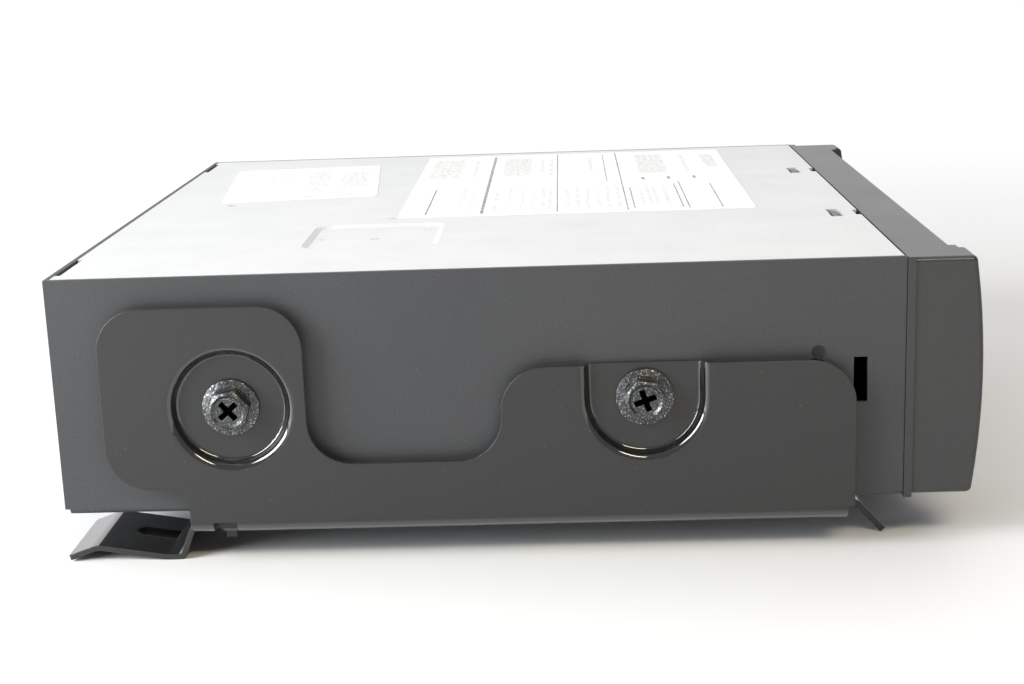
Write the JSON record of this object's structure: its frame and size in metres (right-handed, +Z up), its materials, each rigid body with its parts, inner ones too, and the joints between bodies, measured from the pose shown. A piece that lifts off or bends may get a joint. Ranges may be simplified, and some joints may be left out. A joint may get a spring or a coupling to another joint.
{
  "type": "car cd player",
  "caption": "Slot-loading car CD player for a standard dashboard opening, with a folded metal tray, a lid, two pressed side brackets, a moulded front and a working disc mechanism.",
  "frame": {"origin": "under the middle of the whole player, on the surface that the bracket feet stand on", "axes": "+Z up, the disc slot and the knobs face -Y, +X to the right seen from the front"},
  "size_m": [0.1886, 0.2062, 0.0603],
  "materials": {
    "dark_zinc": "dark grey finely sparkling sheet, satin",
    "galvanised": "bare galvanised sheet, light satin",
    "black_paint": "black gloss paint",
    "dark_steel": "dark silvery plated steel",
    "bright_steel": "bright turned steel",
    "black_moulding": "fine grained black moulding",
    "black_plastic": "plain black plastic",
    "smoked_pane": "smoked clear pane",
    "display_dark": "dark display face",
    "green_board": "green circuit board",
    "silver_zinc": "cast zinc, satin",
    "tin_plate": "tin plated sheet",
    "capacitor_sleeve": "dark shrunk sleeve",
    "chip_black": "black epoxy",
    "cast_aluminium": "plain cast aluminium",
    "tin_pins": "tin plated pins",
    "fuse_red": "clear red plastic",
    "white_film": "white film with printed tracks",
    "soft_rubber": "soft black rubber",
    "lens_clear": "clear moulded lens",
    "white_acetal": "off-white slippery plastic"
  },
  "bodies": {
    "chassis": {"chassis_frame": "dark_zinc", "rear_panel": "dark_zinc", "front_plate": "dark_zinc", "top_cover": "galvanised", "bracket_left": "black_paint", "bracket_right": "black_paint", "bracket_screws": "dark_steel", "small_screws": "dark_steel", "fascia": "black_moulding", "display_window": "smoked_pane", "display_module": "display_dark", "front_board": "green_board", "tact_switches": "black_plastic", "rotary_encoders": "silver_zinc", "main_board": "green_board", "tuner_module": "tin_plate", "capacitors": "capacitor_sleeve", "logic_chips": "chip_black", "power_amplifier": "chip_black", "heat_sink": "cast_aluminium", "harness_connector": "black_plastic", "connector_pins": "tin_pins", "antenna_socket": "tin_plate", "fuse": "fuse_red", "rear_stud": "bright_steel", "mech_frame": "galvanised", "mech_board": "green_board", "ribbon_cable": "white_film", "disc_guide": "black_plastic", "mech_deck": "galvanised", "dampers": "soft_rubber", "spindle_motor": "bright_steel", "sled_motor": "bright_steel", "guide_rod": "bright_steel"},
    "volume_knob": {"volume_knob": "black_moulding"},
    "tune_knob": {"tune_knob": "black_moulding"},
    "mode_button": {"mode_button": "black_moulding"},
    "preset_button_1": {"preset_button_1": "black_moulding"},
    "preset_button_2": {"preset_button_2": "black_moulding"},
    "preset_button_3": {"preset_button_3": "black_moulding"},
    "preset_button_4": {"preset_button_4": "black_moulding"},
    "preset_button_5": {"preset_button_5": "black_moulding"},
    "preset_button_6": {"preset_button_6": "black_moulding"},
    "power_button": {"power_button": "black_moulding"},
    "eject_button": {"eject_button": "black_moulding"},
    "seek_rocker": {"seek_rocker": "black_moulding"},
    "slot_shutter": {"slot_shutter": "black_plastic"},
    "turntable": {"turntable": "black_plastic"},
    "clamp_arm": {"clamp_arm": "galvanised"},
    "clamper": {"clamper": "black_plastic"},
    "lead_screw": {"lead_screw": "bright_steel"},
    "sled": {"pickup_sled": "cast_aluminium", "objective_lens": "lens_clear"},
    "roller_carriage": {"roller_carriage": "galvanised", "loading_motor": "bright_steel"},
    "loading_pinion": {"loading_pinion": "white_acetal"},
    "idler_gear": {"idler_gear": "white_acetal"},
    "loading_roller": {"loading_roller": "white_acetal", "roller_sleeves": "soft_rubber"}
  },
  "joints": [
    {"name": "volume_knob_turn", "type": "hinge", "parent": "chassis", "child": "volume_knob", "pos_m": [-0.061, -0.0989, 0.0303], "axis": [0, 1, 0], "continuous": true},
    {"name": "tune_knob_turn", "type": "hinge", "parent": "chassis", "child": "tune_knob", "pos_m": [0.061, -0.0989, 0.0303], "axis": [0, 1, 0], "continuous": true},
    {"name": "mode_button_press", "type": "slide", "parent": "chassis", "child": "mode_button", "axis": [0, 1, 0], "range_m": [0, 0.0008], "stiffness_N_per_m": 400, "springref_m": -0.0005},
    {"name": "preset_button_1_press", "type": "slide", "parent": "chassis", "child": "preset_button_1", "axis": [0, 1, 0], "range_m": [0, 0.0008], "stiffness_N_per_m": 400, "springref_m": -0.0005},
    {"name": "preset_button_2_press", "type": "slide", "parent": "chassis", "child": "preset_button_2", "axis": [0, 1, 0], "range_m": [0, 0.0008], "stiffness_N_per_m": 400, "springref_m": -0.0005},
    {"name": "preset_button_3_press", "type": "slide", "parent": "chassis", "child": "preset_button_3", "axis": [0, 1, 0], "range_m": [0, 0.0008], "stiffness_N_per_m": 400, "springref_m": -0.0005},
    {"name": "preset_button_4_press", "type": "slide", "parent": "chassis", "child": "preset_button_4", "axis": [0, 1, 0], "range_m": [0, 0.0008], "stiffness_N_per_m": 400, "springref_m": -0.0005},
    {"name": "preset_button_5_press", "type": "slide", "parent": "chassis", "child": "preset_button_5", "axis": [0, 1, 0], "range_m": [0, 0.0008], "stiffness_N_per_m": 400, "springref_m": -0.0005},
    {"name": "preset_button_6_press", "type": "slide", "parent": "chassis", "child": "preset_button_6", "axis": [0, 1, 0], "range_m": [0, 0.0008], "stiffness_N_per_m": 400, "springref_m": -0.0005},
    {"name": "power_button_press", "type": "slide", "parent": "chassis", "child": "power_button", "axis": [0, 1, 0], "range_m": [0, 0.0008], "stiffness_N_per_m": 400, "springref_m": -0.0005},
    {"name": "eject_button_press", "type": "slide", "parent": "chassis", "child": "eject_button", "axis": [0, 1, 0], "range_m": [0, 0.0008], "stiffness_N_per_m": 400, "springref_m": -0.0005},
    {"name": "seek_rocker_tilt", "type": "hinge", "parent": "chassis", "child": "seek_rocker", "pos_m": [0.038, -0.0903, 0.0373], "axis": [1, 0, 0], "range_deg": [-3, 3], "stiffness_Nm_per_rad": 0.02},
    {"name": "slot_shutter_swing", "type": "hinge", "parent": "chassis", "child": "slot_shutter", "pos_m": [0, -0.0916, 0.0563], "axis": [1, 0, 0], "range_deg": [0, 80], "stiffness_Nm_per_rad": 0.0005, "springref_deg": -11.46},
    {"name": "turntable_spin", "type": "hinge", "parent": "chassis", "child": "turntable", "pos_m": [0, -0.0129, 0.0443], "axis": [0, 0, 1], "continuous": true},
    {"name": "clamp_arm_drop", "type": "hinge", "parent": "chassis", "child": "clamp_arm", "pos_m": [0, 0.0504, 0.0547], "axis": [1, 0, 0], "range_deg": [0, 4]},
    {"name": "clamper_spin", "type": "hinge", "parent": "clamp_arm", "child": "clamper", "pos_m": [0, -0.0129, 0.0548], "axis": [0, 0, 1], "continuous": true},
    {"name": "sled_slide", "type": "slide", "parent": "chassis", "child": "sled", "axis": [1, 0, 0], "range_m": [0, 0.032]},
    {"name": "lead_screw_turn", "type": "hinge", "parent": "chassis", "child": "lead_screw", "pos_m": [0, -0.0309, 0.0363], "axis": [1, 0, 0], "continuous": true},
    {"name": "roller_carriage_swing", "type": "hinge", "parent": "chassis", "child": "roller_carriage", "pos_m": [0, -0.0669, 0.0361], "axis": [1, 0, 0], "range_deg": [0, 27.5]},
    {"name": "loading_roller_turn", "type": "hinge", "parent": "roller_carriage", "child": "loading_roller", "pos_m": [0, -0.0569, 0.04589], "axis": [1, 0, 0], "continuous": true},
    {"name": "idler_gear_turn", "type": "hinge", "parent": "roller_carriage", "child": "idler_gear", "pos_m": [-0.068, -0.0669, 0.0361], "axis": [1, 0, 0], "continuous": true},
    {"name": "loading_pinion_turn", "type": "hinge", "parent": "roller_carriage", "child": "loading_pinion", "pos_m": [-0.068, -0.05747, 0.03494], "axis": [1, 0, 0], "continuous": true}
  ],
  "couplings": [
    {"joint": "lead_screw_turn", "follows": "sled_slide", "rad_per_m": 3141.6},
    {"joint": "idler_gear_turn", "follows": "loading_roller_turn", "ratio": -1},
    {"joint": "loading_pinion_turn", "follows": "loading_roller_turn", "ratio": 2.8}
  ]
}
